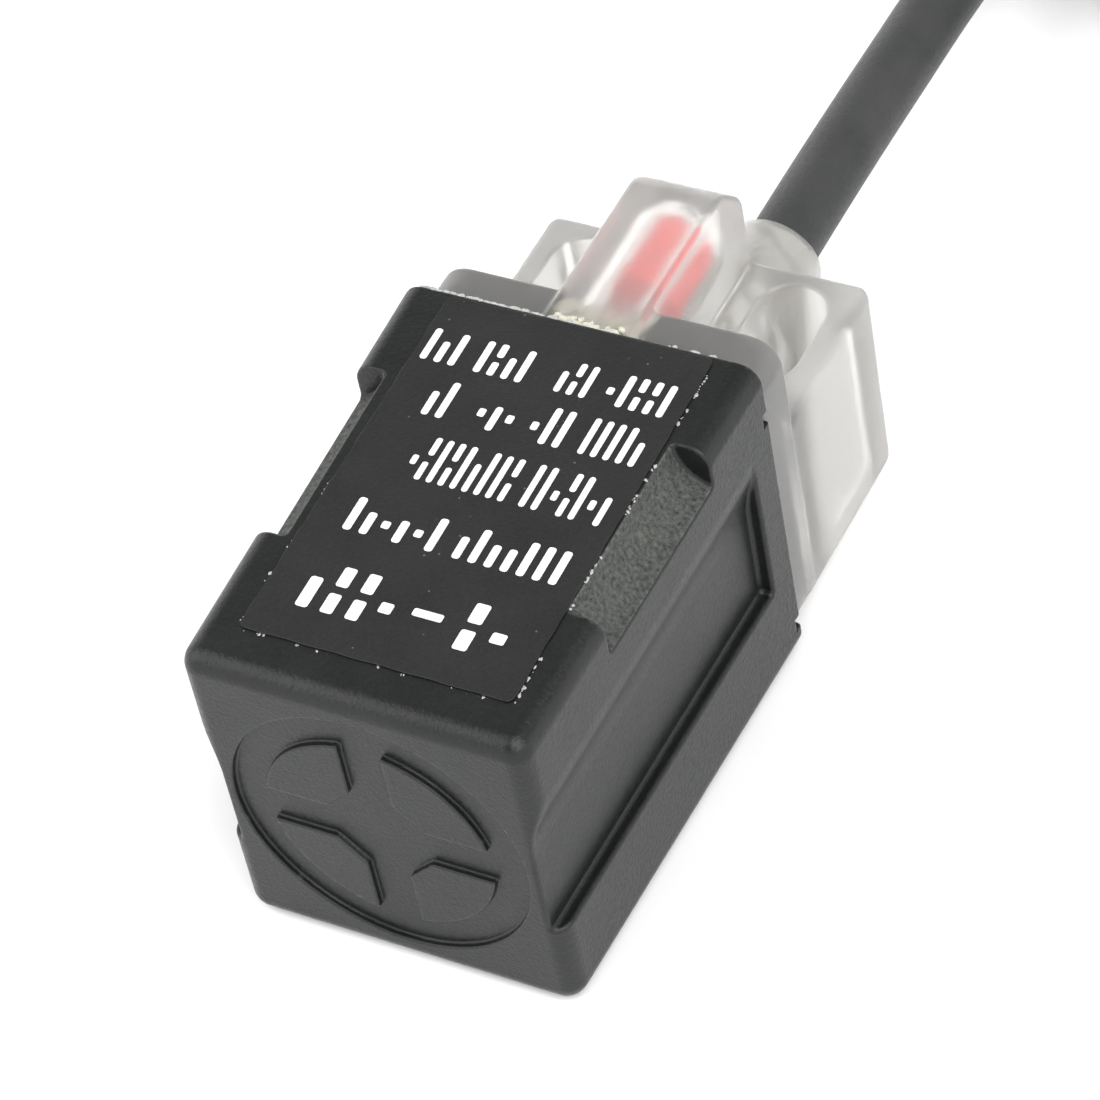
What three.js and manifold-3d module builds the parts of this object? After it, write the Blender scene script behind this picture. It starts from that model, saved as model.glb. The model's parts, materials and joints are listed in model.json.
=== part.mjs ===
// Rectangular inductive proximity sensor with a clear rear base, status LED and three-wire cable.
// Millimetres, +Z up. The sensing face looks along -Y and the cable leaves along +Y.
// While the pieces are drawn, y = 0 is the sensing face and z = 0 is the flat underside. The group is
// then shifted so that its origin is the bottom centre of the sensor without its cable.
import * as THREE from 'three';
import { mergeVertices } from 'three/addons/utils/BufferGeometryUtils.js';
import Module from 'manifold-3d';

const wasm = await Module();
wasm.setup();

// ---------------------------------------------------------------- driving dimensions
const SEAT = 0.05; // air left under a piece that sits on another
const GAP = 0.3; // air left between neighbouring pieces

// Housing: a cup that tapers towards the sensing face.
const HOUSING_LENGTH = 22.9;
const REAR_WIDTH = 18;
const REAR_HEIGHT = 18.35;
const FRONT_WIDTH = 16.9;
const FRONT_HEIGHT = 17.35;
const HOUSING_CORNER = 1.1;
const FRONT_EDGE = 1.0;
const CAVITY_HALF_WIDTH = 7.0;
const CAVITY_BOTTOM = 1.5;
const CAVITY_TOP = 15.7;
const FRONT_WALL = 1.6;
const CAVITY_CORNER = 1.0;

// Side panels, sunk into both long sides and open at the front.
const PANEL_DEPTH = 0.7;
const PANEL_BOTTOM = 5.5;
const PANEL_RAMP = 11.6;
const PANEL_TOP = 13.7;
const PANEL_END = 21.0;

// Scoops cut across both top edges.
const SCOOP_START = 7.6;
const SCOOP_END = 17.6;
const SCOOP_INNER_X = 7.2;
const SCOOP_LOW_Z = 16.2;
const SCOOP_SAG = 0.35;

// Target mark on the sensing face: a sunk disc with four raised quadrants.
const MARK_Z = 8.65;
const MARK_RADIUS = 7.25;
const MARK_DEPTH = 0.32;
const PAD_RADIUS = 5.6;
const PAD_GAP = 2.1;
const PAD_DIAMOND = 3.45;

// Latch nicks in the rear rim.
const NICK_DEPTH = 0.5;
const NICK_HEIGHT = 0.7;
const NICK_Z = [1.8, 15.3];

// Clear rear base: flange, mounting block, LED window and cable boss in one moulding. The flange is a
// tray, open to the front, that the potting resin fills on both sides of the window.
const FLANGE_START = HOUSING_LENGTH + 0.1;
const FLANGE_END = 25.6;
const FLANGE_HALF_WIDTH = 8.6;
const FLANGE_BOTTOM = 0.3;
const FLANGE_TOP = 17.3;
const FLANGE_CORNER = 1.6;
const TRAY_WALL = 0.6;
const TRAY_END = 25.1;
const TRAY_WINDOW_HALF_WIDTH = 2.7;
const TRAY_WINDOW_BOTTOM = 11.2;
const RESIN_START = 21.3;
const BLOCK_END = 34.9;
const BLOCK_HALF_WIDTH = 8.5;
const BLOCK_BOTTOM = 0.6;
const BLOCK_TOP = 12.0;
const BLOCK_CORNER = 0.7;
const WINDOW_HALF_WIDTH = 2.3;
const WINDOW_TOP = 17.7;
const WINDOW_CHAMFER = 1.75;
const SLOT_X = 5.4;
const SLOT_RADIUS = 1.7;
const SLOT_FRONT_Y = 29.3;
const SLOT_REAR_Y = 32.3;
const BOSS_END = 41.1;
const BOSS_ROOT_RADIUS = 3.3;
const BOSS_TIP_RADIUS = 2.45;

// Status LED, 3 mm round, lying in a bore of the window with its dome to the rear.
const LED_Z = 14.6;
const LED_RADIUS = 1.45;
const LED_RIM_RADIUS = 1.6;
const LED_BASE_Y = 27.9;
const LED_LENGTH = 5.2;
const LED_BORE_RADIUS = 1.8;
const LED_PITCH = 2.54;

// Cable.
const CABLE_Z = 6.0;
const CABLE_DIAMETER = 3.6;
const CABLE_RADIUS = CABLE_DIAMETER / 2;
const CABLE_BORE_RADIUS = CABLE_RADIUS + GAP;
const CHAMBER_RADIUS = 2.9;
const CHAMBER_END = 32.0;
const INLET_START = 30.5;
const CONDUCTOR_RADIUS = 0.6;

// Spare cable, wound in a round coil of three layers.
const COIL_CENTRE_X = 14.0;
const COIL_CENTRE_Y = 90.8;
const COIL_MID_RADIUS = 18;
const COIL_COLUMNS = 3;
const COIL_LAYERS = 3;
const COIL_BOTTOM = 0.6;
const TIE_THICKNESS = 0.25;
const TIE_WIDTH = 3.0;
const TIE_ANGLE = -70;

// Sensing coil, circuit board and what stands on it.
const CORE_FRONT = 1.9;
const CORE_BACK = 6.2;
const CORE_RADIUS = 6.6;
const BOARD_TOP = 9.1;
const BOARD_THICKNESS = 1.0;
const BOARD_START = 7.0;
const BOARD_END = 20.4;
const BOARD_HALF_WIDTH = 6.0;
const LEAD_RADIUS = 0.25;

// ---------------------------------------------------------------- solids and helpers
function toSolid(geometry) {
  const bare = geometry.index ? geometry.toNonIndexed() : geometry.clone();
  bare.deleteAttribute('normal');
  bare.deleteAttribute('uv');
  const merged = mergeVertices(bare, 1e-5);
  return new wasm.Manifold(new wasm.Mesh({
    numProp: 3,
    vertProperties: Float32Array.from(merged.attributes.position.array),
    triVerts: Uint32Array.from(merged.index.array),
  }));
}

function toGeometry(solid) {
  const mesh = solid.getMesh();
  const geometry = new THREE.BufferGeometry();
  geometry.setAttribute('position', new THREE.BufferAttribute(mesh.vertProperties, 3));
  geometry.setIndex(new THREE.BufferAttribute(mesh.triVerts, 1));
  geometry.computeVertexNormals();
  return geometry;
}

function cut(solid, tools) {
  return tools.reduce((left, tool) => left.subtract(tool), solid);
}

function join(solids) {
  return solids.reduce((whole, piece) => whole.add(piece));
}

// A rectangle with round corners, from (left, low) to (right, high).
function roundedRect(left, right, low, high, radius) {
  const shape = new THREE.Shape();
  shape.moveTo(left + radius, low);
  shape.lineTo(right - radius, low);
  shape.absarc(right - radius, low + radius, radius, -Math.PI / 2, 0);
  shape.lineTo(right, high - radius);
  shape.absarc(right - radius, high - radius, radius, 0, Math.PI / 2);
  shape.lineTo(left + radius, high);
  shape.absarc(left + radius, high - radius, radius, Math.PI / 2, Math.PI);
  shape.lineTo(left, low + radius);
  shape.absarc(left + radius, low + radius, radius, Math.PI, 1.5 * Math.PI);
  return shape;
}

function polygon(points) {
  return new THREE.Shape(points.map(([a, b]) => new THREE.Vector2(a, b)));
}

const PLAIN = { bevelEnabled: false, curveSegments: 5 };

// The shape's axes are x and z, and it is drawn out from y = start to y = end.
function alongY(shape, start, end, options = {}) {
  const geometry = new THREE.ExtrudeGeometry(shape, { ...PLAIN, depth: end - start, ...options });
  geometry.rotateX(Math.PI / 2);
  geometry.translate(0, end, 0);
  return geometry;
}

// The shape's axes are x and y, and it is drawn out from z = low to z = high.
function alongZ(shape, low, high) {
  const geometry = new THREE.ExtrudeGeometry(shape, { ...PLAIN, curveSegments: 10, depth: high - low });
  geometry.translate(0, 0, low);
  return geometry;
}

// The shape's axes are y and z, and it is drawn out from x = left to x = right.
function alongX(shape, left, right) {
  const geometry = new THREE.ExtrudeGeometry(shape, { ...PLAIN, depth: right - left });
  geometry.applyMatrix4(new THREE.Matrix4().makeBasis(
    new THREE.Vector3(0, 1, 0),
    new THREE.Vector3(0, 0, 1),
    new THREE.Vector3(1, 0, 0),
  ));
  geometry.translate(left, 0, 0);
  return geometry;
}

function block(left, right, start, end, low, high) {
  const geometry = new THREE.BoxGeometry(right - left, end - start, high - low);
  geometry.translate((left + right) / 2, (start + end) / 2, (low + high) / 2);
  return geometry;
}

function cylinderY(x, z, radius, start, end, sides = 32) {
  const geometry = new THREE.CylinderGeometry(radius, radius, end - start, sides);
  geometry.translate(x, (start + end) / 2, z);
  return geometry;
}

// A turned piece about the axis through (x, z) along Y, from a profile of [radius, y] points.
function turnedY(x, z, profile, sides = 32) {
  const points = profile.map(([radius, y]) => new THREE.Vector2(radius, y));
  const geometry = new THREE.LatheGeometry(points, sides);
  geometry.translate(x, 0, z);
  return geometry;
}

// A round wire of the given radius along a smooth curve through the points.
function wire(points, radius, steps, sides = 8) {
  const path = new THREE.CatmullRomCurve3(points.map((p) => new THREE.Vector3(...p)));
  const section = new THREE.Shape();
  for (let i = 0; i < sides; i += 1) {
    const angle = (2 * Math.PI * i) / sides;
    const corner = [radius * Math.cos(angle), radius * Math.sin(angle)];
    if (i === 0) {
      section.moveTo(...corner);
    } else {
      section.lineTo(...corner);
    }
  }
  return new THREE.ExtrudeGeometry(section, { steps, bevelEnabled: false, extrudePath: path });
}

// The housing's width and height at a distance y from the sensing face.
function widthAt(y) {
  return FRONT_WIDTH + ((REAR_WIDTH - FRONT_WIDTH) * y) / HOUSING_LENGTH;
}

function heightAt(y) {
  return FRONT_HEIGHT + ((REAR_HEIGHT - FRONT_HEIGHT) * y) / HOUSING_LENGTH;
}

// Draws a piece of full rear size in to the housing's taper.
function taper(geometry) {
  const position = geometry.attributes.position;
  for (let i = 0; i < position.count; i += 1) {
    const y = position.getY(i);
    position.setX(i, (position.getX(i) * widthAt(y)) / REAR_WIDTH);
    position.setZ(i, (position.getZ(i) * heightAt(y)) / REAR_HEIGHT);
  }
  return geometry;
}

function mirrorX(geometry) {
  const mirrored = geometry.clone();
  mirrored.applyMatrix4(new THREE.Matrix4().makeScale(-1, 1, 1));
  const bare = mirrored.index ? mirrored.toNonIndexed() : mirrored;
  const position = bare.attributes.position;
  const flipped = new Float32Array(position.count * 3);
  for (let i = 0; i < position.count; i += 3) {
    [i, i + 2, i + 1].forEach((from, k) => {
      flipped.set([position.getX(from), position.getY(from), position.getZ(from)], 3 * (i + k));
    });
  }
  const result = new THREE.BufferGeometry();
  result.setAttribute('position', new THREE.BufferAttribute(flipped, 3));
  return result;
}

function bothSides(geometry) {
  return [toSolid(geometry), toSolid(mirrorX(geometry))];
}

// ---------------------------------------------------------------- housing
function housing() {
  const outline = roundedRect(-REAR_WIDTH / 2, REAR_WIDTH / 2, 0, REAR_HEIGHT, HOUSING_CORNER);
  const overrun = 3;
  const shell = alongY(outline, FRONT_EDGE, HOUSING_LENGTH + overrun, {
    bevelEnabled: true,
    bevelThickness: FRONT_EDGE,
    bevelSize: FRONT_EDGE,
    bevelOffset: -FRONT_EDGE,
    bevelSegments: 3,
  });
  const rearTrim = block(-20, 20, HOUSING_LENGTH, HOUSING_LENGTH + 10, -5, 30);
  const cavity = alongY(
    roundedRect(-CAVITY_HALF_WIDTH, CAVITY_HALF_WIDTH, CAVITY_BOTTOM, CAVITY_TOP, CAVITY_CORNER),
    FRONT_WALL,
    HOUSING_LENGTH + 1,
  );
  const ledNotch = block(-2.2, 2.2, 19.6, HOUSING_LENGTH + 1, CAVITY_TOP - 1, LED_Z + 2.1);

  const side = REAR_WIDTH / 2;
  const panel = taper(alongY(polygon([
    [side - PANEL_DEPTH, PANEL_BOTTOM],
    [side + 1, PANEL_BOTTOM],
    [side + 1, PANEL_TOP + 1],
    [side, PANEL_TOP],
    [side - PANEL_DEPTH, PANEL_RAMP],
  ]), -1, PANEL_END));

  const scoopShape = new THREE.Shape();
  scoopShape.moveTo(SCOOP_INNER_X, REAR_HEIGHT + 1);
  scoopShape.lineTo(SCOOP_INNER_X, REAR_HEIGHT);
  scoopShape.quadraticCurveTo(
    (SCOOP_INNER_X + side) / 2 - 2 * SCOOP_SAG,
    (REAR_HEIGHT + SCOOP_LOW_Z) / 2 - 2 * SCOOP_SAG,
    side,
    SCOOP_LOW_Z,
  );
  scoopShape.lineTo(side + 1, SCOOP_LOW_Z);
  scoopShape.lineTo(side + 1, REAR_HEIGHT + 1);
  const scoop = taper(alongY(scoopShape, SCOOP_START, SCOOP_END));

  const quadrants = cut(toSolid(cylinderY(0, MARK_Z, PAD_RADIUS, -2, 2, 48)), [
    toSolid(block(-PAD_GAP / 2, PAD_GAP / 2, -3, 3, MARK_Z - 10, MARK_Z + 10)),
    toSolid(block(-10, 10, -3, 3, MARK_Z - PAD_GAP / 2, MARK_Z + PAD_GAP / 2)),
    toSolid(cylinderY(0, MARK_Z, PAD_DIAMOND, -3, 3, 4)),
  ]);
  const mark = toSolid(cylinderY(0, MARK_Z, MARK_RADIUS, -1, MARK_DEPTH, 64)).subtract(quadrants);

  const nicks = NICK_Z.flatMap((z) => bothSides(block(
    side - NICK_DEPTH,
    side + 1,
    HOUSING_LENGTH - NICK_DEPTH,
    HOUSING_LENGTH + 1,
    z - NICK_HEIGHT / 2,
    z + NICK_HEIGHT / 2,
  )));

  return toGeometry(cut(toSolid(taper(shell)), [
    toSolid(rearTrim),
    toSolid(cavity),
    toSolid(ledNotch),
    ...bothSides(panel),
    ...bothSides(scoop),
    mark,
    ...nicks,
  ]));
}

// ---------------------------------------------------------------- clear rear base
function rearBase() {
  const flange = alongY(
    roundedRect(-FLANGE_HALF_WIDTH, FLANGE_HALF_WIDTH, FLANGE_BOTTOM, FLANGE_TOP, FLANGE_CORNER),
    FLANGE_START,
    FLANGE_END,
  );
  const tray = toSolid(alongY(
    roundedRect(
      -FLANGE_HALF_WIDTH + TRAY_WALL,
      FLANGE_HALF_WIDTH - TRAY_WALL,
      FLANGE_BOTTOM + TRAY_WALL,
      FLANGE_TOP - TRAY_WALL,
      FLANGE_CORNER - TRAY_WALL,
    ),
    FLANGE_START - 1,
    TRAY_END,
  )).subtract(toSolid(block(
    -TRAY_WINDOW_HALF_WIDTH,
    TRAY_WINDOW_HALF_WIDTH,
    FLANGE_START - 2,
    TRAY_END + 1,
    TRAY_WINDOW_BOTTOM,
    FLANGE_TOP + 1,
  )));

  const bodyEnds = alongY(
    roundedRect(-BLOCK_HALF_WIDTH, BLOCK_HALF_WIDTH, BLOCK_BOTTOM, BLOCK_TOP, BLOCK_CORNER),
    FLANGE_END - 0.2,
    BLOCK_END,
  );
  const bodyPlan = alongZ(
    roundedRect(-BLOCK_HALF_WIDTH, BLOCK_HALF_WIDTH, FLANGE_END - 3, BLOCK_END, BLOCK_CORNER),
    -1,
    BLOCK_TOP + 1,
  );
  const body = toSolid(bodyEnds).intersect(toSolid(bodyPlan));

  const window = alongX(polygon([
    [FLANGE_START, BLOCK_TOP - 0.5],
    [BLOCK_END, BLOCK_TOP - 0.5],
    [BLOCK_END, WINDOW_TOP - WINDOW_CHAMFER],
    [BLOCK_END - WINDOW_CHAMFER, WINDOW_TOP],
    [FLANGE_START, WINDOW_TOP],
  ]), -WINDOW_HALF_WIDTH, WINDOW_HALF_WIDTH);

  const boss = turnedY(0, CABLE_Z, [
    [0, BLOCK_END - 0.5],
    [BOSS_ROOT_RADIUS, BLOCK_END - 0.5],
    [BOSS_TIP_RADIUS, BOSS_END - 0.3],
    [BOSS_TIP_RADIUS - 0.3, BOSS_END],
    [0, BOSS_END],
  ]);

  const slotShape = roundedRect(
    SLOT_X - SLOT_RADIUS,
    SLOT_X + SLOT_RADIUS,
    SLOT_FRONT_Y - SLOT_RADIUS,
    SLOT_REAR_Y + SLOT_RADIUS,
    SLOT_RADIUS - 0.001,
  );
  const slot = alongZ(slotShape, -1, BLOCK_TOP + 1);
  const chamber = cylinderY(0, CABLE_Z, CHAMBER_RADIUS, FLANGE_START - 1, CHAMBER_END);
  const cableBore = cylinderY(0, CABLE_Z, CABLE_BORE_RADIUS, CHAMBER_END - 1, BOSS_END + 1);
  const domeCentre = LED_BASE_Y + LED_LENGTH - LED_RADIUS;
  const ledBore = cylinderY(0, LED_Z, LED_BORE_RADIUS, FLANGE_START - 1, domeCentre, 24);
  const ledDome = new THREE.SphereGeometry(LED_BORE_RADIUS, 24, 12);
  ledDome.translate(0, domeCentre, LED_Z);

  const moulding = join([toSolid(flange), body, toSolid(window), toSolid(boss)]);
  return toGeometry(cut(moulding, [
    tray,
    ...bothSides(slot),
    toSolid(chamber),
    toSolid(cableBore),
    toSolid(ledBore),
    toSolid(ledDome),
  ]));
}

// ---------------------------------------------------------------- label and resin
function label() {
  const start = 2.3;
  const end = HOUSING_LENGTH - 0.2;
  const thickness = 0.15;
  const top = (y) => heightAt(y) + SEAT;
  return alongX(polygon([
    [start, top(start)],
    [end, top(end)],
    [end, top(end) + thickness],
    [start, top(start) + thickness],
  ]), -6.5, 6.9);
}

// The resin closes the housing's mouth and fills the tray, clear of the window and of the wires.
function pottingPlug() {
  const mouth = alongY(
    roundedRect(
      -CAVITY_HALF_WIDTH + GAP,
      CAVITY_HALF_WIDTH - GAP,
      CAVITY_BOTTOM + GAP,
      CAVITY_TOP - GAP,
      CAVITY_CORNER,
    ),
    RESIN_START,
    FLANGE_START + 0.5,
  );
  const inset = TRAY_WALL + 0.1;
  const fill = alongY(
    roundedRect(
      -FLANGE_HALF_WIDTH + inset,
      FLANGE_HALF_WIDTH - inset,
      FLANGE_BOTTOM + inset,
      FLANGE_TOP - inset,
      FLANGE_CORNER - inset,
    ),
    FLANGE_START + 0.1,
    TRAY_END - 0.1,
  );
  const wireGate = block(-3.2, 3.2, RESIN_START - 1, TRAY_END + 1, 4.2, 8.6);
  const windowGate = block(
    -TRAY_WINDOW_HALF_WIDTH - 0.1,
    TRAY_WINDOW_HALF_WIDTH + 0.1,
    RESIN_START - 1,
    TRAY_END + 1,
    TRAY_WINDOW_BOTTOM - 0.1,
    FLANGE_TOP + 1,
  );
  return toGeometry(join([toSolid(mouth), toSolid(fill)]).subtract(toSolid(wireGate)).subtract(toSolid(windowGate)));
}

// ---------------------------------------------------------------- sensing coil
const LEAD_SLOT_X = 4.2;

function ferriteCore() {
  const floor = 4.7;
  const post = 2.9;
  const rim = 5.6;
  const bore = 1.0;
  const core = turnedY(0, MARK_Z, [
    [bore, CORE_FRONT],
    [post, CORE_FRONT],
    [post, floor],
    [rim, floor],
    [rim, CORE_FRONT],
    [CORE_RADIUS, CORE_FRONT],
    [CORE_RADIUS, CORE_BACK],
    [bore, CORE_BACK],
    [bore, CORE_FRONT],
  ], 40);
  const leadSlot = block(LEAD_SLOT_X - 0.6, LEAD_SLOT_X + 0.6, floor - 0.5, CORE_BACK + 1, 8, 9.5);
  return toGeometry(cut(toSolid(core), bothSides(leadSlot)));
}

function bobbin() {
  return turnedY(0, MARK_Z, [
    [3.2, 2.0],
    [5.3, 2.0],
    [5.3, 2.35],
    [3.55, 2.35],
    [3.55, 4.05],
    [5.3, 4.05],
    [5.3, 4.4],
    [3.2, 4.4],
    [3.2, 2.0],
  ], 40);
}

function winding() {
  return turnedY(0, MARK_Z, [
    [3.85, 2.65],
    [5.1, 2.65],
    [5.1, 3.75],
    [3.85, 3.75],
    [3.85, 2.65],
  ], 40);
}

function coilLead(side) {
  const x = side * LEAD_SLOT_X;
  return wire([
    [x, 4.8, 8.7],
    [x, 6.0, 8.8],
    [x, 6.7, 9.5],
    [x, 7.5, BOARD_TOP + 0.6],
    [x, 8.4, BOARD_TOP + 0.55],
  ], LEAD_RADIUS, 8, 6);
}

// ---------------------------------------------------------------- circuit board
function chip(x, y, width, length, height, legs) {
  const low = BOARD_TOP + SEAT;
  const body = block(x - width / 2, x + width / 2, y - length / 2, y + length / 2, low + 0.1, low + height);
  const pieces = [toSolid(body)];
  const pitch = 1.27;
  for (let i = 0; i < legs / 2; i += 1) {
    const legY = y + (i - (legs / 2 - 1) / 2) * pitch;
    pieces.push(toSolid(block(x - width / 2 - 0.7, x + width / 2 + 0.7, legY - 0.2, legY + 0.2, low, low + 0.4)));
  }
  return toGeometry(join(pieces));
}

function smallPart(x, y, width, length, height, underneath = false) {
  const low = underneath ? BOARD_TOP - BOARD_THICKNESS - SEAT - height : BOARD_TOP + SEAT;
  return block(x - width / 2, x + width / 2, y - length / 2, y + length / 2, low, low + height);
}

function canCapacitor(x, y) {
  const low = BOARD_TOP + SEAT;
  const geometry = new THREE.CylinderGeometry(2, 2, 4.6, 24);
  geometry.rotateX(Math.PI / 2);
  geometry.translate(x, y, low + 2.3);
  return geometry;
}

// ---------------------------------------------------------------- status LED
function ledBody() {
  const shoulder = LED_BASE_Y + LED_LENGTH - LED_RADIUS;
  const profile = [
    [0, LED_BASE_Y],
    [LED_RIM_RADIUS, LED_BASE_Y],
    [LED_RIM_RADIUS, LED_BASE_Y + 0.9],
    [LED_RADIUS, LED_BASE_Y + 0.9],
  ];
  const steps = 6;
  for (let i = 0; i <= steps; i += 1) {
    const angle = (Math.PI / 2) * (i / steps);
    const radius = i === steps ? 0 : LED_RADIUS * Math.cos(angle);
    profile.push([radius, shoulder + LED_RADIUS * Math.sin(angle)]);
  }
  return turnedY(0, LED_Z, profile, 24);
}

function ledLead(side) {
  const x = (side * LED_PITCH) / 2;
  return wire([
    [x, LED_BASE_Y - GAP, LED_Z],
    [x, 23.5, LED_Z],
    [x, 21.6, LED_Z],
    [x, 20.3, LED_Z - 0.5],
    [x, 19.7, LED_Z - 1.8],
    [x, 19.6, 12.0],
    [x, 19.6, BOARD_TOP + GAP],
  ], LEAD_RADIUS, 16, 6);
}

// ---------------------------------------------------------------- cable
const CONDUCTORS = [
  { name: 'brown', colour: 0x6b3a20, offset: [-0.68, -0.4], spread: -1 },
  { name: 'black', colour: 0x15161a, offset: [0, 0.79], spread: 0 },
  { name: 'blue', colour: 0x2450a8, offset: [0.68, -0.4], spread: 1 },
];

// A conductor from its solder pad under the board to the end of the cable's jacket.
function innerConductor({ offset: [dx, dz], spread }) {
  return wire([
    [2.1 * spread, 18.6, BOARD_TOP - BOARD_THICKNESS - SEAT - CONDUCTOR_RADIUS],
    [2.1 * spread, 20.0, 7.4],
    [1.7 * spread, 22.0, 6.7],
    [1.1 * spread + 0.3 * dx, 24.5, 6.2 + dz],
    [dx, 27.5, CABLE_Z + dz],
    [dx, INLET_START - GAP, CABLE_Z + dz],
  ], CONDUCTOR_RADIUS - 0.05, 16);
}

function cableInlet() {
  return cylinderY(0, CABLE_Z, CABLE_RADIUS, INLET_START, BOSS_END, 24);
}

function retainingRing() {
  return turnedY(0, CABLE_Z, [
    [CABLE_RADIUS + 0.1, INLET_START + 0.2],
    [CHAMBER_RADIUS - 0.2, INLET_START + 0.2],
    [CHAMBER_RADIUS - 0.2, CHAMBER_END - 0.2],
    [CABLE_RADIUS + 0.1, CHAMBER_END - 0.2],
    [CABLE_RADIUS + 0.1, INLET_START + 0.2],
  ], 24);
}

// The cable runs straight out of the boss, sinks towards the surface and meets the coil on its near left.
const LEAD_ROUTE = [
  [0, BOSS_END + GAP, CABLE_Z],
  [0, 46, 6.0],
  [0.05, 51, 6.0],
  [0.15, 56, 6.0],
  [0.25, 60.5, 6.0],
  [0.2, 63.7, 5.7],
  [-0.35, 67, 4.9],
  [-1.45, 70.1, 3.8],
];

const OUTER_TURN_RADIUS = COIL_MID_RADIUS + ((COIL_COLUMNS - 1) / 2) * CABLE_DIAMETER;
const COIL_OUTER_RADIUS = OUTER_TURN_RADIUS + CABLE_RADIUS + SEAT;
const COIL_INNER_RADIUS = 2 * COIL_MID_RADIUS - COIL_OUTER_RADIUS;
const COIL_TOP = COIL_BOTTOM + COIL_LAYERS * CABLE_DIAMETER + 2 * SEAT;

function cableCoil() {
  const soft = 1.2;
  const profile = [
    [COIL_INNER_RADIUS + soft, COIL_BOTTOM],
    [COIL_OUTER_RADIUS - soft, COIL_BOTTOM],
    [COIL_OUTER_RADIUS, COIL_BOTTOM + soft],
    [COIL_OUTER_RADIUS, COIL_TOP - soft],
    [COIL_OUTER_RADIUS - soft, COIL_TOP],
    [COIL_INNER_RADIUS + soft, COIL_TOP],
    [COIL_INNER_RADIUS, COIL_TOP - soft],
    [COIL_INNER_RADIUS, COIL_BOTTOM + soft],
    [COIL_INNER_RADIUS + soft, COIL_BOTTOM],
  ];
  const geometry = new THREE.LatheGeometry(profile.map(([r, z]) => new THREE.Vector2(r, z)), 48);
  geometry.rotateX(Math.PI / 2);
  geometry.translate(COIL_CENTRE_X, COIL_CENTRE_Y, 0);
  return geometry;
}

function coilTie() {
  const hole = roundedRect(
    COIL_INNER_RADIUS - GAP,
    COIL_OUTER_RADIUS + GAP,
    COIL_BOTTOM - GAP,
    COIL_TOP + GAP,
    1.0,
  );
  const band = roundedRect(
    COIL_INNER_RADIUS - GAP - TIE_THICKNESS,
    COIL_OUTER_RADIUS + GAP + TIE_THICKNESS,
    COIL_BOTTOM - GAP - TIE_THICKNESS,
    COIL_TOP + GAP + TIE_THICKNESS,
    1.0 + TIE_THICKNESS,
  );
  band.holes.push(hole);
  const geometry = alongY(band, -TIE_WIDTH / 2, TIE_WIDTH / 2);
  geometry.rotateZ(THREE.MathUtils.degToRad(TIE_ANGLE));
  geometry.translate(COIL_CENTRE_X, COIL_CENTRE_Y, 0);
  return geometry;
}

// The tail leaves the coil's top turn on the right, drops to the surface and ends stripped.
const TAIL_X = COIL_CENTRE_X + OUTER_TURN_RADIUS;
const TAIL_ROUTE = [
  [TAIL_X, COIL_CENTRE_Y - 14, 7.7],
  [TAIL_X - 0.1, COIL_CENTRE_Y - 18, 5.9],
  [TAIL_X - 0.5, COIL_CENTRE_Y - 22, 4.1],
  [TAIL_X - 1.2, COIL_CENTRE_Y - 26, 2.7],
  [TAIL_X - 2.2, COIL_CENTRE_Y - 30, 1.98],
  [TAIL_X - 3.2, COIL_CENTRE_Y - 34, CABLE_RADIUS + SEAT],
  [TAIL_X - 4.1, COIL_CENTRE_Y - 38, CABLE_RADIUS + SEAT],
];

const [END_X, END_Y, END_Z] = TAIL_ROUTE[TAIL_ROUTE.length - 1];
const STRIPPED_LENGTH = 20;
const TIP_LENGTH = 5;

// Stripped conductors fan out along -Y from the end of the jacket and settle on the surface.
function strippedRoute({ offset: [dx, dz], spread }) {
  const floor = CONDUCTOR_RADIUS + SEAT;
  const last = END_Y - STRIPPED_LENGTH;
  return [
    [END_X - dx, END_Y - GAP, END_Z + dz],
    [END_X - 1.3 * dx, END_Y - 3, END_Z + 0.9 * dz],
    [END_X - 1.9 * spread, END_Y - 7, (END_Z + floor) / 2],
    [END_X - 2.7 * spread - 0.1, END_Y - 11, floor],
    [END_X - 3.6 * spread - 0.3, END_Y - 15.5, floor],
    [END_X - 4.6 * spread - 0.5, last, floor],
  ];
}

function conductorEnd(conductor) {
  return wire(strippedRoute(conductor), CONDUCTOR_RADIUS, 16);
}

function tinnedTip(conductor) {
  const route = strippedRoute(conductor).map((p) => new THREE.Vector3(...p));
  const end = route[route.length - 1];
  const heading = end.clone().sub(route[route.length - 2]).normalize();
  const start = end.clone().addScaledVector(heading, 0.15);
  const tip = start.clone().addScaledVector(heading, TIP_LENGTH);
  return wire([start.toArray(), tip.toArray()], 0.4, 1);
}

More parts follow.
